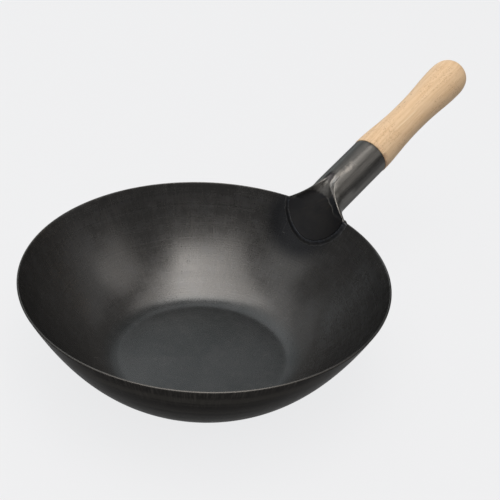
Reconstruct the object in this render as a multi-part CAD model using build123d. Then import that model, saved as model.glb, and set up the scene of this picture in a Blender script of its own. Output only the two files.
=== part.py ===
from build123d import *
import math
import os

# A flat bottomed carbon steel wok with a rolled steel handle socket and a turned beech grip.
# Millimetres, +Z up. The origin is the middle of the flat base, on the surface that the wok stands on,
# and the handle leaves the bowl along +X.

# The bowl is one pressed sheet. Its wall is a cubic curve from the flat base to the rim.
rim_radius = 160.0
rim_height = 90.0
rim_angle = 64.5
base_radius = 73.5
base_reach = 26.0
wall_reach = 61.0
bowl_sheet = 1.6
rim_round = 0.5
wall_shares = (0, 0.06, 0.14, 0.24, 0.36, 0.5, 0.64, 0.78, 0.9, 1)

# The handle's axis starts above the rim. Stations are lengths along it, counted from there.
handle_angle = 18.4
axis_rise = 2.8

# The socket is one rolled sheet: a tube at its mouth, pressed down into a valley between two ridges at
# the rim, and flared there to two corners.
socket_radius = 18.9
socket_sheet = 1.8
socket_length = 79.0
seam_gap = 0.8
neck_length = 35.0
flare_radius = 33.7
flare_station = 12.7
flare_length = 17.0
crown_half_width = 4.9
corner_half_width = 32.3
corner_height = 0.8
fold_drop = 5.0
ridge_station = 20.0
ridge_length = 26.0
flank_back = 22.0
ridge_power_share = 1.72
crease_start_share = 0.3
crease_spread_share = 0.5
crease_sag_share = 5.0
ridge_aside_share = 0.5
ridge_lower_share = 0.4
flank_turn_shares = (-0.85, -0.7, -0.55, -0.4, -0.25, -0.12, 0, 0.16, 0.33, 0.5, 0.67, 0.84, 1)
neck_steps = 12

# The tongue is the end of the same sheet. It lies on the inside of the bowl.
tongue_half_width = 31.0
tongue_reach = 32.0
tongue_rise = 1.5
tongue_depth = 25.0
outline_fullness_share = 0.46

# Weld beads round the tongue and round the flanks.
tongue_bead = 5.6
tongue_bead_height = 1.3
flank_bead = 2.6

# The grip is turned in one piece with the tenon that sits in the socket. Reaches count from its shoulder.
shoulder_radius = 19.3
shoulder_round = 1.0
waist_radius = 16.4
waist_reach = 64.8
belly_radius = 19.4
belly_reach = 129.8
grip_length = 152.3
tenon_length = 41.0
tenon_chamfer = 1.5
shoulder_slope_share = 0.35
waist_slope_share = 0.5
belly_slope_share = 0.35
dome_fullness_share = 0.7

# A small pan head screw holds the tenon, set back from the socket's mouth.
screw_setback = 17.0
screw_turn = 135.0
screw_radius = 1.6
screw_length = 14.0
screw_tip = 2.5
head_radius = 3.6
head_height = 1.8
slot_width = 0.9
slot_depth = 0.8

# Clearances between separate pieces, and the overrun of every cut.
seat_gap = 0.2
tenon_gap = 0.15
screw_gap = 0.25
overrun = 6.0

wall = Bezier(
    (base_radius, 0, 0),
    (base_radius + base_reach, 0, 0),
    (
        rim_radius - wall_reach * math.cos(math.radians(rim_angle)),
        0,
        rim_height - wall_reach * math.sin(math.radians(rim_angle)),
    ),
    (rim_radius, 0, rim_height),
)
rim_point = wall @ 1
rim_direction = wall % 1
rim_top = rim_height + bowl_sheet * rim_direction.X

handle = Plane(
    origin=(rim_radius, 0, rim_height + axis_rise),
    x_dir=(0, 1, 0),
    z_dir=(math.cos(math.radians(handle_angle)), 0, math.sin(math.radians(handle_angle))),
)


def inward(direction):
    """The wall's normal towards the inside of the bowl, from the wall's direction."""
    return Vector(-direction.Z, 0, direction.X)


def wall_line(depth, rise):
    """The wall moved inwards by depth, as a curve with a straight end of length rise past the rim."""
    points = [(wall @ share) + inward(wall % share) * depth for share in wall_shares]
    curve = Spline(*points, tangents=(wall % 0, rim_direction))
    return curve, (curve @ 1) + rim_direction * rise


def both_sides(*edges):
    """Edges of the half outline on the right, with their mirror images on the left."""
    return [*edges, *(edge.mirror(Plane.YZ) for edge in edges)]


def revolved(*lines):
    """The solid that a closed outline in the XZ plane makes when it turns about the Z axis."""
    edges = [edge for line in lines for edge in line.edges()]
    return revolve(Face(Wire(edges)), axis=Axis.Z, revolution_arc=360)


def bowl_layer(outer_depth, inner_depth, rise):
    """A bowl shaped layer between two depths, counted inwards from the outside of the bowl."""
    outer, outer_end = wall_line(outer_depth, rise)
    inner, inner_end = wall_line(inner_depth, rise)
    outer_foot = Vector(0, 0, outer_depth)
    inner_foot = Vector(0, 0, inner_depth)
    edges = [Line(outer_foot, outer @ 0), outer]
    if rise > 0:
        edges.append(Line(outer @ 1, outer_end))
        edges.append(Line(inner @ 1, inner_end))
    edges.append(Line(outer_end, inner_end))
    edges.extend([inner, Line(inner_foot, inner @ 0), Line(outer_foot, inner_foot)])
    return revolved(*edges)


def filled_bowl():
    """The whole space inside the bowl's outside, up to just above its rim, that the socket keeps out of."""
    rise = (rim_top + seat_gap - rim_height + seat_gap) / rim_direction.Z
    line, end = wall_line(-seat_gap, rise)
    foot = Vector(0, 0, -seat_gap)
    middle = Vector(0, 0, end.Z)
    return revolved(Line(foot, line @ 0), line, Line(line @ 1, end), Line(end, middle), Line(middle, foot))


def build_bowl():
    """The pressed sheet, with its rim's edges broken."""
    sheet = bowl_layer(0, bowl_sheet, 0)
    rim_edges = sheet.edges().filter_by(GeomType.CIRCLE).group_by(SortBy.RADIUS)[-2:]
    return fillet([edge for group in rim_edges for edge in group], rim_round)


def limited(value):
    """The value held between 0 and 1."""
    return min(max(value, 0), 1)


def floor_at(station):
    """Height and slope of the valley's middle line over the handle's axis, at a station of the neck."""
    thickness = bowl_sheet + seat_gap + socket_sheet
    start = handle.to_local_coords(rim_point + inward(rim_direction) * thickness)
    slope = math.tan(math.radians(rim_angle - handle_angle))
    run = neck_length - start.Z
    share = (station - start.Z) / run
    if share < 0:
        return start.Y + slope * run * share, slope
    rise = 3 * share**2 - 2 * share**3
    bend = share - 2 * share**2 + share**3
    height = start.Y + (socket_radius - start.Y) * rise + slope * run * bend
    rise_rate = 6 * share - 6 * share**2
    bend_rate = 1 - 4 * share + 3 * share**2
    return height, (socket_radius - start.Y) / run * rise_rate + slope * bend_rate


def valley_points(station):
    """Ridge, crease and middle of the pressed valley, across and above the handle's axis."""
    left = limited((ridge_station - station) / ridge_length)
    spread = left**ridge_power_share
    crown_height = math.sqrt(socket_radius**2 - crown_half_width**2)
    ridge_across = crown_half_width + (corner_half_width - crown_half_width) * spread
    ridge_up = corner_height + (crown_height - corner_height) * math.cos(math.pi / 2 * left)
    floor_up, slope = floor_at(station)
    crease = crease_start_share + crease_spread_share * spread
    along = limited((neck_length - station) / (neck_length - ridge_station + ridge_length))
    crease_power = 2 + crease_sag_share * along * (1 - along)
    crease_up = floor_up + (ridge_up - floor_up) * crease**crease_power
    return (ridge_across, ridge_up), (crease * ridge_across, crease_up), (0, floor_up), slope, spread


def neck_section(station, inset):
    """A closed face across the neck, moved inwards by inset."""
    ridge, crease, middle, slope, spread = valley_points(station)
    flare = limited((flare_station - station) / flare_length)
    across = socket_radius + (flare_radius - socket_radius) * flare**2 - inset
    widest_up = -fold_drop * spread
    down = socket_radius + widest_up - inset
    lean = math.sqrt(1 + slope**2)
    ridge_aside = inset * ridge_aside_share * ridge[0] / socket_radius
    ridge_lower = inset * (1 + ridge_lower_share * spread)
    ridge = (ridge[0] - ridge_aside, ridge[1] - ridge_lower)
    crease = (crease[0], crease[1] - inset * lean)
    middle = (0, middle[1] - inset * lean)
    ridge_turn = math.acos(ridge[0] / across)
    up = (ridge[1] - widest_up) / math.sin(ridge_turn)
    right = []
    for share in flank_turn_shares:
        turn = share * (math.pi / 2 if share < 0 else ridge_turn)
        height = down if share < 0 else up
        right.append((across * math.cos(turn), widest_up + height * math.sin(turn)))
    left = [(-x, y) for x, y in reversed(right)]
    flanks = Spline(*left, (0, widest_up - down), *right)
    top = Spline(ridge, crease, middle, (-crease[0], crease[1]), (-ridge[0], ridge[1]))
    return handle.offset(station) * Face(Wire([flanks, top]))


def neck_form(inset, extra):
    """The neck's and the tube's outside, moved inwards by inset, with the tube longer by extra."""
    first = ridge_station - ridge_length
    step = (neck_length - first) / neck_steps
    faces = [neck_section(first + step * count, inset) for count in range(neck_steps + 1)]
    return loft(faces) + extrude(faces[-1], socket_length - neck_length + extra)


def flank_form(inset, extra):
    """The flanks' outside below the rim, moved inwards by inset and longer by extra."""
    return extrude(neck_section(ridge_station - ridge_length, inset), -flank_back - extra)


def tongue_outline(grow):
    """The tongue's outline as a block square to the wall, grown all round by grow."""
    half = tongue_half_width + grow
    reach = tongue_reach + grow
    full = outline_fullness_share
    side = Bezier((half, 0), (half, -reach * full), (half * full, -reach), (0, -reach))
    top = tongue_rise + overrun
    edges = both_sides(side, Line((half, 0), (half, top)), Line((half, top), (0, top)))
    plane = Plane(origin=rim_point, x_dir=(0, 1, 0), z_dir=-inward(rim_direction))
    return plane * extrude(Face(Wire(edges)), tongue_depth, both=True)


def screw_place():
    """The plane on the socket's outside where the screw goes in, looking outwards."""
    turn = math.radians(screw_turn)
    out = handle.x_dir * math.sin(turn) + handle.y_dir * math.cos(turn)
    middle = handle.origin + handle.z_dir * (socket_length - screw_setback)
    return Plane(origin=middle + out * socket_radius, x_dir=handle.z_dir, z_dir=out)


def screw_hole():
    """The clearance hole for the screw through the socket and into the tenon."""
    depth = screw_length + screw_gap
    return screw_place() * Cylinder(screw_radius + screw_gap, depth + overrun).moved(
        Location((0, 0, (overrun - depth) / 2))
    )


def build_socket():
    """Tube, pressed neck, flanks and tongue as one sheet."""
    hollow = neck_form(socket_sheet, overrun) + flank_form(socket_sheet, overrun)
    back = bowl_sheet + seat_gap
    neck = neck_form(0, 0) - bowl_layer(-seat_gap, back, rim_round)
    flanks = flank_form(0, 0) - filled_bowl()
    seam_length = 2 * (socket_length + overrun)
    seam = Box(seam_gap, socket_radius, seam_length, align=(Align.CENTER, Align.MAX, Align.CENTER))
    shell = neck + flanks - hollow - handle * seam - screw_hole()
    tongue = bowl_layer(back, back + socket_sheet, tongue_rise) & tongue_outline(0)
    return shell + tongue


def build_tongue_weld(clearance):
    """The ground bead round the tongue, on the inside of the bowl, cut clear of the neck."""
    back = bowl_sheet + seat_gap
    layer = bowl_layer(back, back + tongue_bead_height, 0)
    return (layer & tongue_outline(tongue_bead)) - tongue_outline(seat_gap) - clearance


def build_flank_weld(clearance):
    """The bead where the flanks meet the outside of the bowl."""
    grow = -flank_bead - seat_gap
    layer = bowl_layer(grow, -seat_gap, 0)
    return (layer & (neck_form(grow, 0) + flank_form(grow, 0))) - clearance


def build_grip():
    """The turned grip with its tenon, cut for the screw."""
    mouth = socket_length + seat_gap
    tenon_radius = socket_radius - socket_sheet - tenon_gap
    tenon_end = mouth - tenon_length
    waist_station = mouth + waist_reach
    belly_station = mouth + belly_reach
    grip_end = mouth + grip_length
    shoulder = (shoulder_radius, 0, mouth + shoulder_round)
    waist = (waist_radius, 0, waist_station)
    belly = (belly_radius, 0, belly_station)
    rear = belly_reach - waist_reach
    dome = grip_length - belly_reach
    edges = [
        Polyline(
            (0, 0, tenon_end),
            (tenon_radius - tenon_chamfer, 0, tenon_end),
            (tenon_radius, 0, tenon_end + tenon_chamfer),
            (tenon_radius, 0, mouth),
            (shoulder_radius - shoulder_round, 0, mouth),
        ),
        Bezier((shoulder_radius - shoulder_round, 0, mouth), (shoulder_radius, 0, mouth), shoulder),
        Bezier(
            shoulder,
            (shoulder_radius, 0, mouth + waist_reach * shoulder_slope_share),
            (waist_radius, 0, waist_station - waist_reach * waist_slope_share),
            waist,
        ),
        Bezier(
            waist,
            (waist_radius, 0, waist_station + rear * waist_slope_share),
            (belly_radius, 0, belly_station - rear * belly_slope_share),
            belly,
        ),
        Bezier(
            belly,
            (belly_radius, 0, belly_station + dome * dome_fullness_share),
            (belly_radius * dome_fullness_share, 0, grip_end),
            (0, 0, grip_end),
        ),
        Line((0, 0, grip_end), (0, 0, tenon_end)),
    ]
    return handle * revolved(*edges) - screw_hole()


def build_screw():
    """A pan head wood screw with a straight slot."""
    edges = [
        Polyline(
            (0, 0, -screw_length),
            (screw_radius, 0, screw_tip - screw_length),
            (screw_radius, 0, 0),
            (head_radius, 0, 0),
        ),
        Bezier((head_radius, 0, 0), (head_radius, 0, head_height), (0, 0, head_height)),
        Line((0, 0, head_height), (0, 0, -screw_length)),
    ]
    slot = Box(2 * head_radius, slot_width, 2 * slot_depth).moved(Location((0, 0, head_height)))
    return screw_place().offset(seat_gap) * (revolved(*edges) - slot)


os.makedirs("parts", exist_ok=True)
export_step(build_bowl(), "parts/bowl.step")
export_step(build_socket(), "parts/handle_socket.step")
socket_clearance = neck_form(-seat_gap, 0) + flank_form(-seat_gap, overrun)
export_step(build_tongue_weld(socket_clearance), "parts/tongue_weld.step")
export_step(build_flank_weld(socket_clearance), "parts/flank_weld.step")
export_step(build_grip(), "parts/wood_grip.step")
export_step(build_screw(), "parts/grip_screw.step")
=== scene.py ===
import math

import bpy
import numpy as np
from mathutils import Matrix, Vector


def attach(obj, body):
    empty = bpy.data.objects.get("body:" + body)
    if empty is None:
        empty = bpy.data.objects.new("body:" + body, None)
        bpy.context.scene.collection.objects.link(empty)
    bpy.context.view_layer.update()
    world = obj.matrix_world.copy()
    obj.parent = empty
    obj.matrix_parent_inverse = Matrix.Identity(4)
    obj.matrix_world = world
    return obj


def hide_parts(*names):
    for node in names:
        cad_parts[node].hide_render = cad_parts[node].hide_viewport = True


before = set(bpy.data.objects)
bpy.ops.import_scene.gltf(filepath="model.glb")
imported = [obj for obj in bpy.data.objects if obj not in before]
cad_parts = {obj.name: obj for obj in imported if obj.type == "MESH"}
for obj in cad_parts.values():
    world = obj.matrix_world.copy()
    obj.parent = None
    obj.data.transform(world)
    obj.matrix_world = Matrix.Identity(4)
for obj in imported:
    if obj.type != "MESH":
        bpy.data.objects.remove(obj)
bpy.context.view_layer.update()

# The photograph's viewpoint: above and to the left of the rim, with a long lens, looking down across the
# bowl so that the handle points away to the upper right. The lens and its sensor are in millimetres.
camera_place = Vector((-0.645556, -0.563337, 0.665107))
camera_aim = Vector((0.657702, 0.526297, -0.538925))
camera_top = Vector((0.378021, 0.388227, 0.840465))
lens_length = 86.4
sensor_width = 36.0
scene = bpy.context.scene
camera = bpy.data.objects.new("camera", bpy.data.cameras.new("camera"))
camera.data.lens = lens_length
camera.data.sensor_width = sensor_width
camera_axes = Matrix((camera_aim.cross(camera_top), camera_top, -camera_aim)).transposed()
camera.matrix_world = Matrix.Translation(camera_place) @ camera_axes.to_4x4()
scene.collection.objects.link(camera)
scene.camera = camera

# The bowl is one disc of carbon steel, pressed flat at the bottom and spun up to a plain trimmed rim, then
# blackened and oiled. It is drawn as one closed skin, from the middle of its underside out and up to the rim,
# and back down the inside.
rim_radius = 0.160
rim_height = 0.090
rim_angle = math.radians(64.5)
base_radius = 0.0735
base_reach = 0.026
wall_reach = 0.061
bowl_sheet = 0.0016
rim_round = 0.0005
rim_degrees = (0, 22, 45, 68, 90)
base_middle = 0.001
base_rings = 26
wall_rings = 80
bowl_turns = 384
wall_corners = np.array(
    [
        (base_radius, 0.0),
        (base_radius + base_reach, 0.0),
        (rim_radius - wall_reach * math.cos(rim_angle), rim_height - wall_reach * math.sin(rim_angle)),
        (rim_radius, rim_height),
    ]
)
heat_place = (0.150, 0.012, 0.075)
heat_reach = 0.047
heat_full = 0.026


def unit(directions):
    """Directions with their length made 1. A direction without length stays as it is."""
    return directions / np.maximum(np.linalg.norm(directions, axis=-1, keepdims=True), 1e-12)


def bezier(corners, share):
    """A cubic Bezier: its corners weighted by the four Bernstein terms of the share of the way along."""
    share = np.asarray(share, float)[..., None]
    weights = np.concatenate(
        [(1 - share) ** 3, 3 * share * (1 - share) ** 2, 3 * share**2 * (1 - share), share**3], axis=-1
    )
    return weights @ np.asarray(corners, float)


def wall_at(share, depth):
    """Radius and height on the wall at a share of its curve, moved by depth square to it into the bowl."""
    legs = 3 * np.diff(wall_corners, axis=0)
    share = np.asarray(share, float)
    part = share[..., None]
    slope = unit((1 - part) ** 2 * legs[0] + 2 * part * (1 - part) * legs[1] + part**2 * legs[2])
    normal = np.stack([-slope[..., 1], slope[..., 0]], axis=-1)
    return bezier(wall_corners, share) + np.asarray(depth)[..., None] * normal


def edge_rows(one, other, outward, radius, degrees):
    """Rows that round the two corners of a sheet's edge: quarter circles of the radius from one face to the
    edge, and from the edge on to the other face."""
    across = unit(other - one)
    turns = np.radians(degrees).reshape(-1, *[1] * one.ndim)
    first = one + radius * (across * (1 - np.cos(turns)) - outward * (1 - np.sin(turns)))
    last = other - radius * (across * (1 - np.cos(turns)) + outward * (1 - np.sin(turns)))
    return np.concatenate([first, last[::-1]])


def closed_mesh(name, points, material, wrap_rows=False, wrap_columns=False, poles=False, strips=()):
    """A mesh of four sided faces between neighbours on a grid of points. It wraps round in either way, poles
    adds fans of triangles to the middles of the first and last row, and strips are pairs of rows of corners
    with faces between them. Points at one place become one, and a face loses corners that it has twice. The
    faces are turned so that the volume, the sum of pyramids from the origin to them, is positive."""
    rows, columns = points.shape[:2]
    index = np.arange(rows * columns).reshape(rows, columns)
    here = index if wrap_rows else index[:-1]
    down = np.roll(index, -1, axis=0)[: len(here)]
    reach = columns if wrap_columns else columns - 1
    corners = (here, np.roll(here, -1, axis=1), np.roll(down, -1, axis=1), down)
    groups = [np.stack([corner[:, :reach] for corner in corners], axis=-1).reshape(-1, 4)]
    vertices = points.reshape(-1, 3)
    if poles:
        vertices = np.vstack([vertices, points[0].mean(0), points[-1].mean(0)])
        around = np.arange(columns)
        onward = np.roll(around, -1)
        end = (rows - 1) * columns
        pole = np.full(columns, rows * columns)
        groups.append(np.stack([pole, onward, around], -1))
        groups.append(np.stack([pole + 1, end + around, end + onward], -1))
    for one, other in strips:
        groups.append(np.stack([one[:-1], one[1:], other[1:], other[:-1]], -1))
    _, earliest, same = np.unique(np.round(vertices, 8), axis=0, return_index=True, return_inverse=True)
    place = earliest[same.reshape(-1)]
    used = np.unique(place)
    vertices = vertices[used]
    groups = [np.searchsorted(used, place[group]) for group in groups]
    volume = 0.0
    for group in groups:
        for k in range(1, group.shape[1] - 1):
            base = np.cross(vertices[group[:, k]], vertices[group[:, k + 1]])
            volume += float((vertices[group[:, 0]] * base).sum())
    faces = []
    for face in (face for group in groups for face in group.tolist()):
        face = [corner for k, corner in enumerate(face) if corner != face[k - 1]]
        if len(face) > 2:
            faces.append(face[::-1] if volume < 0 else face)
    mesh = bpy.data.meshes.new(name)
    mesh.from_pydata(vertices.tolist(), [], faces)
    mesh.materials.append(material)
    mesh.shade_smooth()
    mesh.validate()
    piece = bpy.data.objects.new(name, mesh)
    scene.collection.objects.link(piece)
    return piece


def turned_skin(name, profile, turns, material, place=None):
    """The surface that a profile of radius and height makes when it turns about the Z axis: x and y are the
    radius times the turn's cosine and sine. place moves it from its own axis into the frame."""
    turn = np.linspace(0, 2 * math.pi, turns, endpoint=False)
    radius, height = profile[:, :1], profile[:, 1:]
    points = np.stack([radius * np.cos(turn), radius * np.sin(turn), height + 0 * turn], axis=-1)
    points = points if place is None else place(points)
    return closed_mesh(name, points, material, wrap_columns=True, poles=True)


class Signal:
    """A number that changes over a surface. Arithmetic on signals adds Math nodes to their finish."""

    def __init__(self, finish, socket):
        self.finish = finish
        self.socket = socket

    def __add__(self, other):
        return self.finish.math("ADD", self, other)

    def __sub__(self, other):
        return self.finish.math("SUBTRACT", self, other)

    def __rsub__(self, other):
        return self.finish.math("SUBTRACT", other, self)

    def __mul__(self, other):
        return self.finish.math("MULTIPLY", self, other)

    def __truediv__(self, other):
        return self.finish.math("DIVIDE", self, other)

    def __pow__(self, other):
        return self.finish.math("POWER", self, other)

    def __abs__(self):
        return self.finish.math("ABSOLUTE", self)

    __radd__ = __add__
    __rmul__ = __mul__

    def within(self, low, high):
        """0 below low, 1 above high, and smooth between. low may be the larger of the two, which turns it."""
        settings = {"interpolation_type": "SMOOTHSTEP"}
        sockets = {"Value": self, "From Min": low, "From Max": high}
        return Signal(self.finish, self.finish.node("ShaderNodeMapRange", settings, sockets)["Result"])


class Finish:
    """One material: its nodes, its place coordinates, and the Principled shader that they feed."""

    def __init__(self, name, **uniform):
        self.material = bpy.data.materials.new(name)
        self.material.use_nodes = True
        self.tree = self.material.node_tree
        self.shader = self.tree.nodes["Principled BSDF"]
        self.place = self.node("ShaderNodeTexCoord", {}, {})["Object"]
        for socket, value in uniform.items():
            self.feed(socket.replace("_", " "), value)

    def put(self, socket, value):
        """Links a signal or another node's output to a socket, or sets the socket to a plain value."""
        value = value.socket if isinstance(value, Signal) else value
        if isinstance(value, bpy.types.NodeSocket):
            self.tree.links.new(value, socket)
        else:
            socket.default_value = value

    def feed(self, socket, value):
        """Puts a value on one of the shader's own sockets."""
        self.put(self.shader.inputs[socket], value)

    def node(self, kind, settings, sockets):
        """Adds a node, sets its settings first, then its sockets' values or links, and gives its outputs."""
        node = self.tree.nodes.new(kind)
        for setting, value in settings.items():
            setattr(node, setting, value)
        for socket, value in sockets.items():
            self.put(node.inputs[socket], value)
        return node.outputs

    def math(self, operation, *values):
        """One Math node on signals and numbers."""
        sockets = dict(enumerate(values))
        return Signal(self, self.node("ShaderNodeMath", {"operation": operation}, sockets)["Value"])

    def length(self, first, *others):
        """The square root of the sum of the signals' squares."""
        total = first * first
        for other in others:
            total = total + other * other
        return self.math("SQRT", total)

    def turned(self, turn, stretch=(1, 1, 1)):
        """Object coordinates, stretched and then turned."""
        sockets = {"Vector": self.place, "Rotation": turn, "Scale": stretch}
        return self.node("ShaderNodeMapping", {}, sockets)["Vector"]

    def parts(self, vector):
        """A vector's three numbers."""
        return [Signal(self, out) for out in self.node("ShaderNodeSeparateXYZ", {}, {"Vector": vector})]

    def vector(self, x, y, z):
        """A vector of three numbers."""
        return self.node("ShaderNodeCombineXYZ", {}, {"X": x, "Y": y, "Z": z})["Vector"]

    def noise(self, vector, scale, detail=3.0, roughness=0.5):
        """Cloudy noise between 0 and 1 with its middle at 0.5."""
        sockets = {"Vector": vector, "Scale": scale, "Detail": detail, "Roughness": roughness}
        return Signal(self, self.node("ShaderNodeTexNoise", {}, sockets)["Fac"])

    def lines(self, along, scale, detail=2.0):
        """Noise that changes along one number only."""
        sockets = {"W": along, "Scale": scale, "Detail": detail}
        return Signal(self, self.node("ShaderNodeTexNoise", {"noise_dimensions": "1D"}, sockets)["Fac"])

    def cells(self, vector, scale):
        """Distance to the nearest of the points strewn in space."""
        sockets = {"Vector": vector, "Scale": scale}
        return Signal(self, self.node("ShaderNodeTexVoronoi", {}, sockets)["Distance"])

    def blend(self, share, one, other):
        """The first colour where share is 0 and the second where it is 1."""
        one, other = [(*colour, 1.0) if isinstance(colour, tuple) else colour for colour in (one, other)]
        return self.node("ShaderNodeMix", {"data_type": "RGBA"}, {0: share, 6: one, 7: other})[2]

    def relief(self, height, distance):
        """Bumps whose height runs from 0 to distance as the signal runs from 0 to 1."""
        bump = self.node("ShaderNodeBump", {}, {"Height": height, "Distance": distance})
        self.feed("Normal", bump["Normal"])


def bowl_profile():
    """The closed outline of the sheet as radius and height: the underside from its middle to the rim, quarter
    rounds on the rim's two edges, and the inside back to its middle, one thickness from the underside."""
    base = np.linspace(base_middle, base_radius, base_rings)[:, None]
    share = np.linspace(0, 1, wall_rings)[1:]
    outer = np.vstack([base * (1, 0), wall_at(share, 0 * share)])
    inner = np.vstack([base * (1, 0) + (0, bowl_sheet), wall_at(share, 0 * share + bowl_sheet)])
    rim = edge_rows(outer[-1], inner[-1], unit(outer[-1] - outer[-2]), rim_round, rim_degrees)
    return np.vstack([outer[:-1], rim, inner[:-1][::-1]])


def blackened_steel():
    """Blackened and oiled carbon steel: blue grey, browner up the wall and outside, with turning marks round
    the axis, fine grain up the wall, pits, stray scratches, a zone darkened by the weld's heat, a paler band
    under the rim, and a rim whose edge is rubbed a little bare."""
    steel = Finish("blackened_steel", Specular_Tint=(0.40, 0.40, 0.40, 1))
    x, y, z = steel.parts(steel.place)
    outside = Signal(steel, steel.node("ShaderNodeAttribute", {"attribute_name": "outside"}, {})["Fac"])
    radius = steel.length(x, y)
    # A measure that grows along the whole profile, from the middle of the base to the rim.
    reach = radius + z * 0.9
    wall = reach.within(0.085, 0.12)
    high = z.within(0.045, 0.088)
    edge = z.within(0.08985, 0.0903)
    cloud = steel.noise(steel.place, 14.0, 4.0, 0.55)
    mottle = steel.noise(steel.place, 90.0, 4.0, 0.6)
    speck = steel.noise(steel.place, 420.0, 2.0, 0.6)
    rings = steel.lines(reach + cloud * 0.004, 420.0, 3.0)
    broad = steel.lines(reach + cloud * 0.01, 60.0, 2.0)
    grain = steel.noise(steel.vector(x / radius * 150, y / radius * 150, reach * 40), 1.0, 4.0, 0.65)
    pits = steel.cells(steel.place, 260.0).within(0.16, 0.07)
    pits = pits * steel.noise(steel.place, 40.0).within(0.5, 0.62)
    stray = steel.noise(steel.turned((0.3, 0.2, 0.9), (1, 6, 1)), 24.0, 1.0)
    scratch = abs(stray - 0.5).within(0.005, 0.001) * steel.noise(steel.place, 31.0).within(0.57, 0.63)
    lip = reach.within(0.2270, 0.2300) * (cloud + mottle - 0.5).within(0.3, 0.7)
    heated = steel.length(x - heat_place[0], y - heat_place[1], z - heat_place[2])
    heated = heated.within(heat_reach, heat_full)
    colour = steel.blend(cloud.within(0.35, 0.65), (0.086, 0.092, 0.094), (0.104, 0.109, 0.111))
    colour = steel.blend(reach.within(0.080, 0.100) * 0.8, colour, (0.102, 0.099, 0.096))
    colour = steel.blend(high * 0.7, colour, (0.080, 0.079, 0.078))
    colour = steel.blend(mottle.within(0.45, 0.7) * 0.35, colour, (0.120, 0.121, 0.123))
    colour = steel.blend(grain.within(0.45, 0.7) * wall * 0.45, colour, (0.132, 0.126, 0.120))
    colour = steel.blend(speck.within(0.62, 0.74) * 0.3, colour, (0.155, 0.153, 0.150))
    colour = steel.blend(pits * 0.5, colour, (0.03, 0.03, 0.03))
    colour = steel.blend(lip * 0.35, colour, (0.130, 0.127, 0.122))
    colour = steel.blend(heated * 0.9, colour, (0.024, 0.025, 0.028))
    colour = steel.blend(scratch * 0.5, colour, (0.20, 0.195, 0.19))
    bands = steel.blend(broad.within(0.4, 0.65), (0.023, 0.022, 0.021), (0.038, 0.036, 0.033))
    bands = steel.blend(grain.within(0.45, 0.7) * high * 0.6, bands, (0.066, 0.061, 0.056))
    colour = steel.blend(outside * 0.92, colour, bands)
    steel.feed("Base Color", steel.blend(edge * 0.4, colour, (0.17, 0.165, 0.155)))
    steel.feed("Metallic", 0.80 + outside * 0.19)
    uneven = (rings - 0.5) * 0.08 + (broad - 0.5) * 0.08 + (mottle - 0.5) * 0.12 + (grain - 0.5) * wall * 0.12
    steel.feed("Roughness", 0.27 + uneven + outside * 0.13)
    steel.relief(rings * 0.25 + mottle * 0.5 + grain * wall * 0.35 - pits * 0.8, 0.00005)
    return steel.material


bowl = turned_skin("bowl_sheet", bowl_profile(), bowl_turns, blackened_steel())
# The attribute is 1 on the rings of the outside and of the rim's flat edge, and on the underside's pole.
outside_rings = base_rings + wall_rings - 1 + len(rim_degrees)
outside_mask = np.zeros(len(bowl.data.vertices), np.float32)
outside_mask[: outside_rings * bowl_turns] = 1.0
outside_mask[-2] = 1.0
bowl.data.attributes.new("outside", "FLOAT", "POINT").data.foreach_set("value", outside_mask)
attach(bowl, "root")
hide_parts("bowl")

# The socket is one sheet of mild steel rolled into a tube with an open seam underneath. Its front is pressed
# into a valley between two ridges, and flared to a tongue that folds over the rim and lies inside the bowl.
# The flanks come down to the bowl's outside. The tube keeps its mill skin, and the weld blackened the front.
handle_angle = math.radians(18.4)
handle_lift = 0.0028
handle_start = np.array([rim_radius, 0.0, rim_height + handle_lift])
handle_axes = np.array(
    [
        (0.0, 1.0, 0.0),
        (-math.sin(handle_angle), 0.0, math.cos(handle_angle)),
        (math.cos(handle_angle), 0.0, math.sin(handle_angle)),
    ]
)
socket_radius = 0.0189
socket_sheet = 0.0018
socket_length = 0.079
neck_length = 0.035
flare_radius = 0.0337
flare_station = 0.0127
flare_length = 0.017
crown_half_width = 0.0049
corner_half_width = 0.0323
corner_height = 0.0008
fold_drop = 0.005
ridge_station = 0.020
ridge_length = 0.026
ridge_power = 1.72
valley_power = 2
valley_swell = 5.0
ridge_inset_across = 0.5
ridge_inset_up = 0.4
fold_station = 0.004
fold_search = 0.002
blend_length = 0.0035
ridge_round = 0.0011
seam_gap = 0.0008
seat_gap = 0.0002
tongue_half_width = 0.031
tongue_reach = 0.032
outline_fullness = 0.46
edge_round = 0.00035
edge_degrees = (0, 30, 60, 90)
flank_low_steps = 34
flank_high_steps = 44
valley_steps = 46
tube_rows = 14
neck_rows = 64
fold_rows = 20
tongue_rows = 30
fold_share = 0.45
trace_rows = 260
trace_gap = 0.001
trace_end = -0.026
wall_shares = np.linspace(0, 1, 600)
wall_line = wall_at(wall_shares, 0 * wall_shares)
coat_station = 0.0066
coat_middle = 0.003
coat_curve = 22.0
# The height above the handle's axis of the painted dark reflection along the tube's sides.
dark_reflection_rise = 0.0045


def along_handle(across, up, station):
    """Points across, above and along the handle's axis, as points in the frame."""
    return handle_start + np.stack(np.broadcast_arrays(across, up, station), axis=-1) @ handle_axes


def points_at(where, places, points):
    """Points on a line of points, straight between them, at the places along it."""
    return np.stack([np.interp(where, places, points[:, k]) for k in range(3)], -1)


def from_rim(points):
    """How far points are past the rim along the wall's last direction, and how deep inside the bowl's outside
    there, measured in the upright plane through the bowl's axis."""
    radius = np.hypot(points[..., 0], points[..., 1]) - rim_radius
    height = points[..., 2] - rim_height
    past = radius * math.cos(rim_angle) + height * math.sin(rim_angle)
    depth = height * math.cos(rim_angle) - radius * math.sin(rim_angle)
    return past, depth


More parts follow.
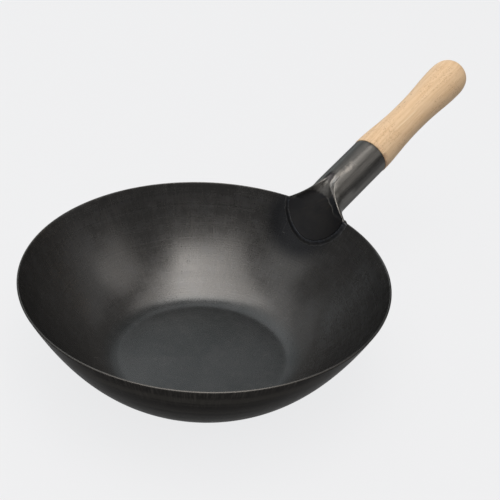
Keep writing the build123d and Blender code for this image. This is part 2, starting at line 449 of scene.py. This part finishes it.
def beside_wall(across, past, depth):
    """Points at a distance across the middle plane, a distance past the rim along the wall (negative inside
    the bowl, where it follows the wall's curve) and a depth inside the bowl's outside."""
    run = np.append(0, np.cumsum(np.linalg.norm(np.diff(wall_line, axis=0), axis=1)))
    share = np.interp(run[-1] + np.minimum(past, 0), run, wall_shares)
    flat = wall_at(share, depth)
    beyond = np.maximum(past, 0)
    radius = flat[..., 0] + beyond * math.cos(rim_angle)
    height = flat[..., 1] + beyond * math.sin(rim_angle)
    outward = np.sqrt(np.maximum(radius**2 - across**2, 0))
    return np.stack([outward, np.broadcast_to(across, radius.shape), height], axis=-1)


def in_bowl(points):
    """How deep points are inside the filled bowl with a small gap all round: the smaller of the depth square
    to its outer surface, from the wall's radius at the same height, and the depth below the rim."""
    lean = np.arctan2(*np.gradient(wall_line, axis=0).T[::-1])
    radius = np.hypot(points[..., 0], points[..., 1])
    there = np.interp(points[..., 2], wall_line[:, 1], wall_line[:, 0])
    square = (there - radius) * np.sin(np.interp(points[..., 2], wall_line[:, 1], lean))
    rim_top = rim_height + bowl_sheet * math.cos(rim_angle)
    return np.minimum(square, rim_top - points[..., 2]) + seat_gap


def valley_middle(station):
    """Height and slope of the valley's middle line: a cubic from the tongue's upper face at the rim, with the
    wall's slope there, to the top of the tube, where it is level. It goes on straight before the rim."""
    start_deep = bowl_sheet + seat_gap + socket_sheet
    start_x = -start_deep * math.sin(rim_angle)
    start_z = start_deep * math.cos(rim_angle) + rim_height - handle_start[2]
    start_up = start_z * math.cos(handle_angle) - start_x * math.sin(handle_angle)
    start_station = start_x * math.cos(handle_angle) + start_z * math.sin(handle_angle)
    slope = math.tan(rim_angle - handle_angle)
    run = neck_length - start_station
    climb = socket_radius - start_up
    share = np.minimum((station - start_station) / run, 1)
    rise = 3 * share**2 - 2 * share**3
    bend = share - 2 * share**2 + share**3
    curved = start_up + climb * rise + slope * run * bend
    steep = climb / run * (6 * share - 6 * share**2) + slope * (1 - 4 * share + 3 * share**2)
    straight = share < 0
    return np.where(straight, start_up + slope * run * share, curved), np.where(straight, slope, steep)


def neck_sections(station, inset, flank_turn, valley_share):
    """Half of each section across the neck at the stations given, from the seam underneath over the flank to
    the ridge, and from there down to the valley's middle. The flank is two quarter ellipses that meet at the
    widest point. The valley rises from its middle with a power of the share of the way to the ridge. inset
    moves the section inwards by about that thickness."""
    s = station[:, None]
    left = np.clip((ridge_station - s) / ridge_length, 0, 1)
    spread = left**ridge_power
    crown_up = math.sqrt(socket_radius**2 - crown_half_width**2)
    ridge_across = crown_half_width + (corner_half_width - crown_half_width) * spread
    ridge_up = corner_height + (crown_up - corner_height) * np.cos(math.pi / 2 * left)
    middle_up, slope = valley_middle(s)
    along = np.clip((neck_length - s) / (neck_length - ridge_station + ridge_length), 0, 1)
    power = valley_power + valley_swell * along * (1 - along)
    flare = np.clip((flare_station - s) / flare_length, 0, 1)
    widest = socket_radius + (flare_radius - socket_radius) * flare**2 - inset
    widest_up = -fold_drop * spread
    below = socket_radius + widest_up - inset
    ridge_across = ridge_across - inset * ridge_inset_across * ridge_across / socket_radius
    ridge_up = ridge_up - inset * (1 + ridge_inset_up * spread)
    middle_up = middle_up - inset * np.sqrt(1 + slope**2)
    ridge_turn = np.arccos(ridge_across / widest)
    above = (ridge_up - widest_up) / np.sin(ridge_turn)
    turn = np.where(flank_turn < 0, flank_turn * math.pi / 2, flank_turn * ridge_turn)
    flank_up = widest_up + np.where(turn < 0, below, above) * np.sin(turn)
    flank = np.stack([widest * np.cos(turn), flank_up], -1)
    valley_up = middle_up + (ridge_up - middle_up) * valley_share**power
    valley = np.stack([ridge_across * valley_share, valley_up], -1)
    return np.concatenate([flank, valley[:, 1:]], axis=1)


def rounded(sections, reach):
    """Each point of every section replaced by the mean of the section over the reach to both sides, twice.
    The half sections go on as their mirror image at both ends."""
    for _ in range(2):
        mirror = sections * (-1, 1)
        whole = np.concatenate([mirror[:, :0:-1], sections, mirror[:, -2::-1]], axis=1)
        steps = np.linalg.norm(np.diff(whole, axis=1), axis=-1)
        run = np.concatenate([np.zeros((len(whole), 1)), np.cumsum(steps, axis=1)], axis=1)
        middle = (whole[:, 1:] + whole[:, :-1]) / 2 * steps[..., None]
        total = np.concatenate([np.zeros((len(whole), 1, 2)), np.cumsum(middle, axis=1)], axis=1)
        count = sections.shape[1]
        here = run[:, count - 1 : 2 * count - 1]
        smooth = np.empty_like(sections)
        for row in range(len(sections)):
            for k in range(2):
                ahead = np.interp(here[row] + reach, run[row], total[row, :, k])
                behind = np.interp(here[row] - reach, run[row], total[row, :, k])
                smooth[row, :, k] = (ahead - behind) / (2 * reach)
        sections = smooth
    return sections


def socket_columns():
    """The columns of half the sheet: turns round the flank from the seam to the ridge, shares of the way from
    the valley's middle to the ridge, and how far the tongue reaches down the wall at each share. The shares
    and reaches are a Bezier quarter, the tongue's outline."""
    below, above = np.linspace(-1, 0, flank_low_steps), np.linspace(0, 1, flank_high_steps)
    corners = [(1, 0), (1, outline_fullness), (outline_fullness, 1), (0, 1)]
    outline = bezier(corners, np.linspace(0, 1, valley_steps))
    return np.concatenate([below, above[1:]]), outline[:, 0], outline[:, 1] * tongue_reach


def socket_skin(inset):
    """One face of the socket's sheet, as a grid: rows run from the tube's mouth to the edge that meets the
    bowl, columns from the seam round the right flank, over the valley and back. Valley columns fold over the
    rim: past the fold station their depth and place across blend into the tongue's, and they follow the wall
    down to the tongue's outline. Flank columns stop just outside the bowl."""
    flank_turn, valley_share, tongue_end = socket_columns()
    ridge = len(flank_turn) - 1
    tube = np.linspace(socket_length, neck_length + trace_gap, tube_rows)
    trace = np.concatenate([tube, np.linspace(neck_length, trace_end, trace_rows)])
    sections = rounded(neck_sections(trace, inset, flank_turn, valley_share), ridge_round)
    points = along_handle(sections[..., 0], sections[..., 1], trace[:, None])
    past, _ = from_rim(points)
    inside = in_bowl(points)
    first = np.argmax(inside >= 0, axis=0)
    every = np.arange(ridge + valley_steps)
    entry, before = inside[first, every], inside[first - 1, every]
    ends = trace[first] + (trace[first - 1] - trace[first]) * entry / (entry - before)
    trace, points, past = trace[::-1], points[::-1], past[::-1]
    near = trace < fold_station + fold_search
    neck_steps = np.linspace(neck_length, fold_station, neck_rows)[1:]
    upper_rows = np.concatenate([np.linspace(socket_length, neck_length, tube_rows), neck_steps])
    fold_steps = np.linspace(0, 1, fold_rows + 1)[1:]
    tongue_steps = np.linspace(0, 1, tongue_rows + 1)[1:]
    flank_steps = np.concatenate([fold_steps * fold_share, fold_share + (1 - fold_share) * tongue_steps])
    deep = bowl_sheet + seat_gap + socket_sheet - inset
    grid = np.empty((len(upper_rows) + fold_rows + tongue_rows, len(every), 3))
    for column in every:
        if column < ridge:
            stations = fold_station + (ends[column] - fold_station) * flank_steps
            lower = points_at(stations, trace, points[:, column])
        else:
            place = tongue_half_width * valley_share[column - ridge]
            rim_station = np.interp(0.0, past[near, column], trace[near])
            stations = fold_station + (rim_station - fold_station) * fold_steps
            fold = points_at(stations, trace, points[:, column])
            ahead, inward = from_rim(fold)
            share = np.clip(1 - ahead / blend_length, 0, 1)
            share = share**2 * (3 - 2 * share)
            across = fold[:, 1] + share * (place - fold[:, 1])
            down = -tongue_steps * tongue_end[column - ridge]
            over = beside_wall(across, ahead, inward + share * (deep - inward))
            tongue = beside_wall(np.full(tongue_rows, place), down, np.full(tongue_rows, deep))
            lower = np.concatenate([over, tongue])
        grid[:, column] = np.concatenate([points_at(upper_rows, trace, points[:, column]), lower])
    grid[:, 0, 1] = np.maximum(grid[:, 0, 1], seam_gap / 2)
    return np.concatenate([grid, grid[:, -2::-1] * (1, -1, 1)], axis=1)


def socket_grid():
    """The sheet as a closed loop of rows: outer face, edge along the bowl, inner face and mouth."""
    outer, inner = socket_skin(0.0), socket_skin(socket_sheet)
    foot = edge_rows(outer[-1], inner[-1], unit(outer[-1] - outer[-4]), edge_round, edge_degrees)
    axis = np.broadcast_to(handle_axes[2], outer[0].shape)
    mouth = edge_rows(inner[0], outer[0], axis, edge_round, edge_degrees)
    return np.concatenate([outer[1:-1], foot, inner[1:-1][::-1], mouth])


def end_strips(points, start=0):
    """Rows of corners that face each other across a closed loop, counted both ways round it from the start,
    in the first column and in the last, so that a strip of faces between them closes each end."""
    rows, columns = points.shape[:2]
    step = np.arange(rows // 2)
    one, other = (start + step) % rows * columns, (start - 1 - step) % rows * columns
    return [(one, other), (other + columns - 1, one + columns - 1)]


def handle_places(finish):
    """Signals for the station along the handle's axis, the place across it and the height above it."""
    along, across, up = finish.parts(finish.turned((0, handle_angle, 0)))
    return along - float(handle_start @ handle_axes[2]), across, up - float(handle_start @ handle_axes[1])


def socket_steel():
    """Grey rolled steel with long scuffs. The front is blackened with the bowl, as far as a curved edge
    across the valley where the coat has flaked to a bright line, and has slanting grinding marks. The press
    has rubbed the crown and the right ridge bright, and on the ridge's valley side the paler colour is also a
    painted highlight. The left slope has painted light over its shade. Heat has left blue beside the right
    ridge and a dark tint at the valley's top, and a painted dark reflection lies along both sides of the
    tube."""
    steel = Finish("socket_steel", Specular_Tint=(0.45, 0.45, 0.45, 1))
    station, across, rise = handle_places(steel)
    x, y, _ = steel.parts(steel.place)
    cloud = steel.noise(steel.place, 40.0, 4.0, 0.55)
    blotch = steel.noise(steel.place, 150.0, 4.0, 0.6)
    fine = steel.noise(steel.place, 500.0, 3.0, 0.6)
    scuff = steel.noise(steel.vector(station * 18, across * 300, rise * 300), 1.0, 5.0, 0.6)
    slant = steel.vector(station * 22 - across * 34, station * 500 + across * 310, rise * 90)
    marks = steel.noise(slant, 1.0, 3.0, 0.6)
    left = steel.math("MAXIMUM", (ridge_station - station) / ridge_length, 0.0)
    ridge_across = crown_half_width + (corner_half_width - crown_half_width) * left**ridge_power
    # The distance from the right ridge towards the valley, and a mask of the socket's upper side.
    aside = across + ridge_across
    above = rise.within(-0.001, 0.003)
    from_middle = across - coat_middle
    coat = station - coat_station + from_middle * from_middle * coat_curve + (blotch - 0.5) * 0.004
    outside = steel.length(x, y).within(0.1560, 0.1590)
    bare = coat.within(-0.0004, 0.0014) * outside
    flaked = abs(coat).within(0.0009, 0.0002) * across.within(-0.003, -0.007) * above * outside
    blue = across.within(-0.006, -0.010) * aside.within(0.0002, 0.0014) * above * station.within(0.010, 0.005)
    # The rub along the right ridge and on the crown. On the ridge's valley side the mark is also a painted
    # highlight.
    width = 0.0008 + station.within(0.004, 0.018) * 0.0020
    shift = station.within(0.004, 0.016) * 0.0021
    rubbed = (width - abs(aside - shift + (blotch - 0.5) * 0.003)).within(-0.0003, 0.0009)
    rubbed = rubbed * station.within(0.038, 0.029) * above
    crown = station.within(0.030, 0.034) * station.within(0.052, 0.046) * across.within(0.001, -0.002) * above
    crown = crown * across.within(-0.010, -0.006) * blotch.within(0.47, 0.60)
    rubbed = steel.math("MAXIMUM", rubbed, crown * 0.8)
    # Where this is 1, on the valley side of the right ridge, the much paler colour is a painted highlight.
    inward = aside.within(-0.0006, 0.0008) * station.within(0.028, 0.022)
    tinted = across.within(-0.001, 0.002) * across.within(0.0095, 0.006) * station.within(0.016, 0.020)
    tinted = tinted * station.within(0.031, 0.026) * above
    # Painted light: a pale colour on the left valley slope that fills its shade.
    slope = across.within(0.0045, 0.008) * (ridge_across - across).within(-0.0015, 0.0005)
    slope = slope * station.within(0.006, 0.011) * station.within(0.024, 0.019)
    # Painted dark reflection: a darker band along both sides of the tube.
    dark_reflection_band = abs(rise - dark_reflection_rise + (blotch - 0.5) * 0.002).within(0.0052, 0.0012)
    dark_reflection_band = dark_reflection_band * station.within(0.022, 0.034)
    dark = steel.blend(cloud.within(0.3, 0.7), (0.027, 0.027, 0.029), (0.036, 0.035, 0.035))
    ground = marks.within(0.5, 0.75) * station.within(-0.016, -0.004)
    dark = steel.blend(ground * 0.5, dark, (0.056, 0.049, 0.041))
    grey = steel.blend(scuff.within(0.35, 0.7), (0.105, 0.102, 0.096), (0.150, 0.146, 0.138))
    grey = steel.blend(blotch.within(0.62, 0.72) * 0.25, grey, (0.05, 0.048, 0.045))
    grey = steel.blend(dark_reflection_band * 0.7, grey, (0.034, 0.033, 0.032))
    grey = steel.blend(blue * 0.8, grey, (0.040, 0.044, 0.054))
    grey = steel.blend(slope * 0.8, grey, (0.34, 0.325, 0.305))
    grey = steel.blend(tinted * 0.9, grey, (0.034, 0.032, 0.034))
    grey = steel.blend(rubbed * 0.8, grey, steel.blend(inward, (0.25, 0.235, 0.215), (0.66, 0.62, 0.58)))
    colour = steel.blend(bare, dark, grey)
    steel.feed("Base Color", steel.blend(flaked * 0.6, colour, (0.24, 0.235, 0.225)))
    steel.feed("Metallic", 0.82 + bare * 0.1)
    steel.feed("Roughness", 0.34 + (scuff - 0.5) * 0.2 + (fine - 0.5) * 0.1 + (marks - 0.5) * above * 0.12)
    steel.relief(fine * 0.4 + scuff * 0.5 + marks * above * 0.3, 0.00005)
    return steel.material


# The strips along the seam start at the middle of the mouth's edge, which ends the loop of rows.
socket_points = socket_grid()
seam = end_strips(socket_points, -len(edge_degrees))
handle_socket = closed_mesh("handle_socket_sheet", socket_points, socket_steel(), wrap_rows=True, strips=seam)
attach(handle_socket, "root")
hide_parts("handle_socket")

# The weld that holds the tongue inside the bowl. It was run round the tongue's edge and then ground down to a
# low band with a soft outer edge, which the heat has tinted.
tongue_bead = 0.0056
bead_height = 0.0017
bead_power = 1.3
bead_share = 0.98
bead_skin = 0.00008
bead_start = 0.0008
bead_steps = 90
bead_rows = 18
# Distances from the tongue's root where the painted reflection on the weld's outer edge starts and is full.
edge_reflection_from = 0.0325
edge_reflection_to = 0.0355


def tongue_weld_grid():
    """A closed band round the tongue's outline. The outline is a Bezier quarter, once for the tongue with a
    small gap and once grown by the bead's width, which wanders by a sum of sines. Across the band the height
    falls from the bead's as half a cosine wave of a power of the share of its width, and the underside goes
    back just above the bowl. Along the bead the height wavers by a product of sines."""
    share = np.linspace(0, 1, bead_steps)

    def side(grow):
        half, reach = tongue_half_width + grow, tongue_reach + grow
        corners = [(half, 0), (half, reach * outline_fullness), (half * outline_fullness, reach), (0, reach)]
        return bezier(corners, share)

    wander = 0.0003 * np.sin(share * 31) + 0.0002 * np.sin(share * 57 + 1)
    near, far = side(seat_gap), side(tongue_bead)
    far = near + (far - near) * (1 + wander[:, None] / tongue_bead)
    far[0, 1] = near[0, 1] = bead_start
    cross = np.linspace(0, 1, bead_rows)[:, None, None]
    flat = near + (far - near) * cross
    waver = 0.94 + 0.06 * np.sin(share * 83) * np.sin(share * 19 + 0.6)
    swell = bead_height * (1 + np.cos(math.pi * cross[..., 0] ** bead_power)) / 2 * waver
    under_depth = bowl_sheet + seat_gap / 4
    top = beside_wall(flat[..., 0], -flat[..., 1], under_depth + bead_skin + swell * bead_share)
    under = beside_wall(flat[..., 0], -flat[..., 1], np.full(flat.shape[:2], under_depth))
    half = np.concatenate([top, under[::-1]])
    return np.concatenate([half, half[:, -2::-1] * (1, -1, 1)], axis=1)


def ground_weld():
    """Ground steel, heat tinted blue, with short grinding marks, and a painted reflection that makes its thin
    outer edge paler.
    """
    weld = Finish("ground_weld", Specular_Tint=(0.4, 0.4, 0.4, 1))
    x, y, z = weld.parts(weld.place)
    cloud = weld.noise(weld.place, 120.0, 3.0, 0.6)
    marks = weld.noise(weld.turned((0, 0.9, 0.5), (900, 70, 900)), 1.0, 3.0, 0.6)
    # The distance from the middle of the tongue's root, on the rim.
    away = weld.length(y, rim_radius - weld.length(x, y), rim_height - z)
    tint = weld.blend(cloud.within(0.4, 0.7), (0.046, 0.049, 0.056), (0.050, 0.050, 0.050))
    # Painted reflection: the band's outer edge is made paler.
    tint = weld.blend(away.within(edge_reflection_from, edge_reflection_to) * 0.8, tint, (0.105, 0.106, 0.109))
    weld.feed("Base Color", weld.blend(marks.within(0.5, 0.8) * 0.3, tint, (0.065, 0.065, 0.065)))
    weld.feed("Metallic", 0.8 + cloud * 0.1)
    weld.feed("Roughness", 0.38 + (marks - 0.5) * 0.2)
    weld.relief(marks * 0.5 + cloud * 0.6, 0.0001)
    return weld.material


weld_points = tongue_weld_grid()
ends = end_strips(weld_points)
tongue_weld = closed_mesh("tongue_weld_bead", weld_points, ground_weld(), wrap_rows=True, strips=ends)
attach(tongue_weld, "root")
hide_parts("tongue_weld")

# The fillet weld where the flanks meet the outside of the bowl, left as it was laid, with the ripples of its
# pool. It runs down one flank, under the seam and up the other.
flank_bead = 0.002236
flank_steps_left = 14
flank_rise_rows = 8
flank_bead_steps = 420
flank_bead_turns = 10
flank_taper = 0.009
ripple_length = 0.0011
ripple_share = 0.05
bead_sink = 0.22
bead_back = 0.04
wall_lean = math.radians(60)


def flank_weld_grid():
    """A bead along the line where the flanks meet the bowl. Its cross section is a hollowed quarter round
    between the wall and the flank, whose radius swells and shrinks with each ripple and tapers to both ends,
    and its back is the corner itself."""
    skin = socket_skin(0.0)
    stop = flank_low_steps + flank_high_steps - 2 - flank_steps_left
    right = skin[-1, :stop]
    lift = skin[-1 - flank_rise_rows, :stop] - right
    foot = np.concatenate([right[::-1] * (1, -1, 1), right])
    rise = np.concatenate([lift[::-1] * (1, -1, 1), lift])
    steps = np.append(0, np.cumsum(np.linalg.norm(np.diff(foot, axis=0), axis=1)))
    even = np.linspace(0, steps[-1], flank_bead_steps)
    foot = points_at(even, steps, foot)
    rise = unit(points_at(even, steps, rise))
    along = unit(np.gradient(foot, axis=0))
    out = unit(foot * (1, 1, 0)) * math.sin(wall_lean) + np.array([0, 0, -math.cos(wall_lean)])
    wall_way = unit(np.cross(along, out))
    wall_way = wall_way * np.sign((wall_way * -rise).sum(-1, keepdims=True))
    taper = np.clip(np.minimum(even, steps[-1] - even) / flank_taper, 0.05, 1) ** 0.7
    ripple = 1 + ripple_share * np.abs(np.sin(even * math.pi / ripple_length))
    size = (flank_bead * taper * ripple)[:, None]
    corner = foot + out * seat_gap
    turn = np.linspace(0, math.pi / 2, flank_bead_turns)[:, None, None]
    legs = np.cos(turn) * wall_way + np.sin(turn) * rise
    face = corner + size * legs * (1 - bead_sink * np.sin(2 * turn))
    back = corner + size * bead_back * legs[::-1]
    return np.concatenate([face, back])


def weld_as_laid():
    """Dark scale over a rippled bead, with a blue grey sheen."""
    weld = Finish("weld_as_laid", Metallic=0.4)
    cloud = weld.noise(weld.place, 260.0, 4.0, 0.6)
    weld.feed("Base Color", weld.blend(cloud.within(0.3, 0.7), (0.02, 0.02, 0.021), (0.05, 0.048, 0.045)))
    weld.feed("Roughness", 0.45 + (cloud - 0.5) * 0.3)
    weld.relief(cloud, 0.0001)
    return weld.material


flank_points = flank_weld_grid()
ends = end_strips(flank_points)
flank_weld = closed_mesh("flank_weld_bead", flank_points, weld_as_laid(), wrap_rows=True, strips=ends)
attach(flank_weld, "root")
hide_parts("flank_weld")

# The grip is turned from one billet of beech, sanded and left bare. Its tenon sits inside the socket, its
# shoulder bears on the socket's mouth, and its far end is a plain dome.
shoulder_radius = 0.0193
shoulder_round = 0.001
shoulder_pull = 0.0003
waist_radius = 0.0164
waist_station = 0.144
belly_radius = 0.0194
belly_station = 0.209
grip_end = 0.231445
tenon_length = 0.041
tenon_gap = 0.00015
tenon_chamfer = 0.0015
tenon_middle = 0.002
grip_middle = 0.0003
shoulder_rings = 9
grip_rings = 50
grip_turns = 224
dents = ((0.1396, 0.0067, 0.8), (0.1478, 0.0056, 0.6), (0.1610, 0.0070, 0.7))
dent_length = 0.0016
dent_width = 0.0007
hairline_across = 0.0096
ring_shift = (0.045, 0.03)


def grip_profile():
    """Radius and station along the grip: tenon, its chamfer, the shoulder's round, a falling and a rising
    cubic with level ends that meet at the waist, and a dome whose Bezier ends square to the axis."""
    mouth = socket_length + seat_gap
    tenon = socket_radius - socket_sheet - tenon_gap
    tenon_end = mouth - tenon_length
    front, rear = waist_station - mouth, belly_station - waist_station
    dome = grip_end - belly_station
    first = mouth + shoulder_round
    shoulder = [
        (shoulder_radius - shoulder_round, mouth),
        (shoulder_radius - shoulder_pull, mouth),
        (shoulder_radius, mouth + shoulder_pull),
        (shoulder_radius, first),
    ]
    falling = [
        (shoulder_radius, first),
        (shoulder_radius, mouth + front * 0.35),
        (waist_radius, waist_station - front * 0.5),
        (waist_radius, waist_station),
    ]
    rising = [
        (waist_radius, waist_station),
        (waist_radius, waist_station + rear * 0.5),
        (belly_radius, belly_station - rear * 0.35),
        (belly_radius, belly_station),
    ]
    ending = [
        (belly_radius, belly_station),
        (belly_radius, belly_station + dome * 0.7),
        (belly_radius * 0.7, grip_end),
        (grip_middle, grip_end),
    ]
    straight = np.linspace(tenon_end + tenon_chamfer, mouth, shoulder_rings)
    share = np.linspace(0, 1, grip_rings)[1:]
    return np.vstack(
        [
            np.array([(tenon_middle, tenon_end), (tenon - tenon_chamfer, tenon_end)]),
            np.stack([np.full(shoulder_rings, tenon), straight], -1),
            bezier(shoulder, np.linspace(0, 1, shoulder_rings)),
            bezier(falling, share),
            bezier(rising, share),
            bezier(ending, share),
        ]
    )


def bare_beech():
    """Pale sanded beech: faint growth rings that run along the grip, fine fibres, short dark ray flecks,
    three small dents on the left, a pale hairline, and soil at the socket's mouth. All is laid out along the
    handle's axis."""
    beech = Finish("bare_beech", Specular_IOR_Level=0.3)
    station, across, rise = handle_places(beech)
    bend = beech.noise(beech.vector(station * 6, across * 30, rise * 30), 1.0, 3.0)
    ring_at = beech.length(across + ring_shift[0], rise + ring_shift[1]) + bend * 0.006
    rings = beech.lines(ring_at, 420.0, 2.0)
    fibre = beech.noise(beech.vector(station * 60, across * 1400, rise * 1400), 1.0, 3.0, 0.6)
    tone = beech.noise(beech.vector(station * 30, across * 110, rise * 110), 1.0, 3.0)
    fleck_at = beech.vector(station * 260, across * 1500, rise * 1500)
    flecks = beech.cells(fleck_at, 1.0).within(0.36, 0.18)
    flecks = flecks * beech.noise(fleck_at, 0.13, 1.0).within(0.46, 0.58)
    above = rise.within(0.0, 0.004)
    wood = beech.blend(rings.within(0.3, 0.7), (0.81, 0.585, 0.365), (0.725, 0.50, 0.295))
    wood = beech.blend(tone.within(0.3, 0.75) * 0.5, wood, (0.79, 0.59, 0.39))
    wood = beech.blend(fibre.within(0.45, 0.75) * 0.5, wood, (0.60, 0.40, 0.23))
    wood = beech.blend(flecks * 0.7, wood, (0.36, 0.19, 0.09))
    for dent_station, dent_across, strength in dents:
        away, aside = (station - dent_station) / dent_length, (across - dent_across) / dent_width
        dent = (away * away + aside * aside).within(1.0, 0.1) * above
        wood = beech.blend(dent * strength, wood, (0.22, 0.13, 0.07))
    hairline = abs(across + hairline_across + (bend - 0.5) * 0.002).within(0.0004, 0.0001) * above
    hairline = hairline * station.within(0.110, 0.118) * station.within(0.148, 0.142)
    wood = beech.blend(hairline * 0.6, wood, (0.90, 0.74, 0.52))
    soil = station.within(0.0875, 0.079) * beech.noise(beech.place, 160.0).within(0.4, 0.65)
    wood = beech.blend(soil * across.within(0.0, -0.010) * 0.6, wood, (0.30, 0.16, 0.10))
    beech.feed("Base Color", wood)
    beech.feed("Roughness", 0.6 + (fibre - 0.5) * 0.2)
    beech.relief(fibre * 0.6 - flecks * 0.5, 0.00004)
    return beech.material


def onto_handle(points):
    """Points turned about the Z axis, put on the handle's axis: z becomes the station."""
    return along_handle(points[..., 0], points[..., 1], points[..., 2])


wood_grip = turned_skin("beech_grip", grip_profile(), grip_turns, bare_beech(), onto_handle)
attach(wood_grip, "root")
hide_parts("wood_grip")

# A small zinc plated pan head screw that goes through the socket into the tenon, on the side away from the
# photograph.
screw_station = 0.062
screw_turn = math.radians(135)
screw_radius = 0.0016
screw_length = 0.014
screw_tip = 0.0025
screw_turns = 120
head_radius = 0.0036
head_height = 0.0018
head_power = 0.7
head_rings = 30
head_step = 0.0001
tip_middle = 0.0002
head_middle = 0.00005
slot_width = 0.0009
slot_depth = 0.0008


def screw_points():
    """Point, shank and pan head as a turned profile on a fine grid. The head is a dome whose radius goes with
    a power of the cosine. Its top is lowered to the slot's floor within half a slot width of the middle."""
    dome = np.linspace(0, math.pi / 2, head_rings)
    head = np.stack([head_radius * np.cos(dome) ** head_power, head_height * np.sin(dome)], -1)[:-1]
    tip = [(tip_middle, -screw_length), (screw_radius, screw_tip - screw_length)]
    shank = [(screw_radius, -head_step), (head_radius - head_step, 0.0)]
    profile = np.vstack([tip, shank, head, (head_middle, head_height)])
    turn = np.linspace(0, 2 * math.pi, screw_turns, endpoint=False)
    x, y = profile[:, :1] * np.cos(turn), profile[:, :1] * np.sin(turn)
    z = np.broadcast_to(profile[:, 1:], x.shape)
    floor_height = head_height - slot_depth
    z = np.where((np.abs(y) < slot_width / 2) & (z > floor_height), floor_height, z)
    out = handle_axes[0] * math.sin(screw_turn) + handle_axes[1] * math.cos(screw_turn)
    side = np.cross(out, handle_axes[2])
    seat = handle_start + handle_axes[2] * screw_station + out * (socket_radius + seat_gap)
    return seat + x[..., None] * handle_axes[2] + y[..., None] * side + z[..., None] * out


def zinc():
    """Zinc plate gone dull, with fine handling marks."""
    plate = Finish("zinc_plate", Metallic=1.0)
    cloud = plate.noise(plate.place, 900.0, 3.0, 0.6)
    plate.feed("Base Color", plate.blend(cloud, (0.34, 0.33, 0.30), (0.48, 0.47, 0.45)))
    plate.feed("Roughness", 0.3 + cloud * 0.2)
    plate.relief(cloud, 0.00003)
    return plate.material


grip_screw = closed_mesh("grip_screw_turned", screw_points(), zinc(), wrap_columns=True, poles=True)
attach(grip_screw, "root")
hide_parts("grip_screw")

# The studio: a pale floor that the camera sees as an even light grey, four warm panels side by side overhead,
# three panels behind the wok of which the lowest is the bluest, two small ones at its left and two at its
# right, and a faint sky that only the camera sees pale.
floor_size = 8.0
floor_drop = 0.0002
floor_grey = (0.36, 0.36, 0.364, 1)
glow_white = (0.972, 0.975, 0.986, 1)
glow_share = 0.82
sky_white = (0.86, 0.86, 0.87, 1)
sky_strength = 0.08
warm = (1.0, 0.965, 0.935)
cool = (0.94, 0.98, 1.0)
blue = (0.86, 0.95, 1.0)
white = (1.0, 1.0, 1.0)
wok_middle = (0.05, 0.0, 0.05)


def studio_floor():
    """A plain pale sheet. Seen by the camera and in reflections it glows partly by itself, so that it stays
    even, and the rest is lit, so that it keeps the wok's shadow."""
    paper = Finish("pale_paper", Base_Color=floor_grey, Roughness=0.9)
    glow = paper.node("ShaderNodeEmission", {}, {"Color": glow_white, "Strength": 1.0})["Emission"]
    rays = paper.node("ShaderNodeLightPath", {}, {})
    seen = paper.math("MAXIMUM", rays["Is Camera Ray"], rays["Is Glossy Ray"])
    seen = paper.math("MAXIMUM", seen, rays["Is Transmission Ray"]) * glow_share
    sockets = {0: seen, 1: paper.shader.outputs["BSDF"], 2: glow}
    both = paper.node("ShaderNodeMixShader", {}, sockets)["Shader"]
    output = next(node for node in paper.tree.nodes if node.type == "OUTPUT_MATERIAL")
    paper.tree.links.new(both, output.inputs["Surface"])
    return paper.material


floor_mesh = bpy.data.meshes.new("floor")
half = floor_size / 2
floor_corners = [(-half, -half, 0), (half, -half, 0), (half, half, 0), (-half, half, 0)]
floor_mesh.from_pydata(floor_corners, [], [(0, 1, 2, 3)])
floor = bpy.data.objects.new("floor", floor_mesh)
floor.location.z = -floor_drop
scene.collection.objects.link(floor)
floor.data.materials.append(studio_floor())


def softbox(name, place, target, width, height, watts, colour):
    """A soft panel that points at a target, and that the camera doesn't see."""
    light = bpy.data.lights.new(name, "AREA")
    light.shape = "RECTANGLE"
    light.size, light.size_y, light.energy, light.color = width, height, watts, colour
    lamp = bpy.data.objects.new(name, light)
    lamp.location = place
    lamp.rotation_euler = (Vector(target) - Vector(place)).to_track_quat("-Z", "Y").to_euler()
    lamp.visible_camera = False
    scene.collection.objects.link(lamp)


softbox("overhead", (-0.107, -0.868, 3.0), (0.405, -0.277, 0.05), 0.9, 3.6, 42.0, warm)
softbox("overhead_middle", (-0.817, -0.314, 3.0), (-0.305, 0.277, 0.05), 0.9, 3.6, 30.0, warm)
softbox("overhead_left", (-1.526, 0.241, 3.0), (-1.014, 0.832, 0.05), 0.9, 3.6, 21.0, warm)
softbox("overhead_right", (0.879, -1.068, 3.0), (1.114, -0.832, 0.05), 0.9, 2.7, 9.3, warm)
softbox("far_high", (0.139, 1.584, 2.544), wok_middle, 3.6, 1.2, 10.2, white)
softbox("far_middle", (0.830, 2.281, 1.763), wok_middle, 4.4, 1.2, 5.7, cool)
softbox("far_low", (1.442, 2.497, 0.827), wok_middle, 4.4, 0.8, 20.0, blue)
softbox("left_low", (-2.586, 1.206, 0.927), wok_middle, 1.8, 1.0, 3.5, white)
softbox("left_middle", (-1.990, 1.149, 1.928), wok_middle, 1.4, 1.2, 3.4, white)
softbox("right_middle", (1.356, -1.937, 1.847), wok_middle, 1.4, 1.2, 5.2, warm)
softbox("right_low", (2.400, -1.276, 1.268), wok_middle, 2.2, 1.2, 2.4, white)

# The camera sees the sky at a strength of 1, and it lights the rest faintly.
sky = bpy.data.worlds.new("sky")
sky.use_nodes = True
sky_nodes, sky_links = sky.node_tree.nodes, sky.node_tree.links
sky_background = sky_nodes["Background"]
sky_background.inputs["Color"].default_value = sky_white
sky_share = sky_nodes.new("ShaderNodeMath")
sky_share.operation = "MAXIMUM"
sky_share.inputs[1].default_value = sky_strength
sky_links.new(sky_nodes.new("ShaderNodeLightPath").outputs["Is Camera Ray"], sky_share.inputs[0])
sky_links.new(sky_share.outputs["Value"], sky_background.inputs["Strength"])
scene.world = sky
scene.view_settings.view_transform = "Standard"
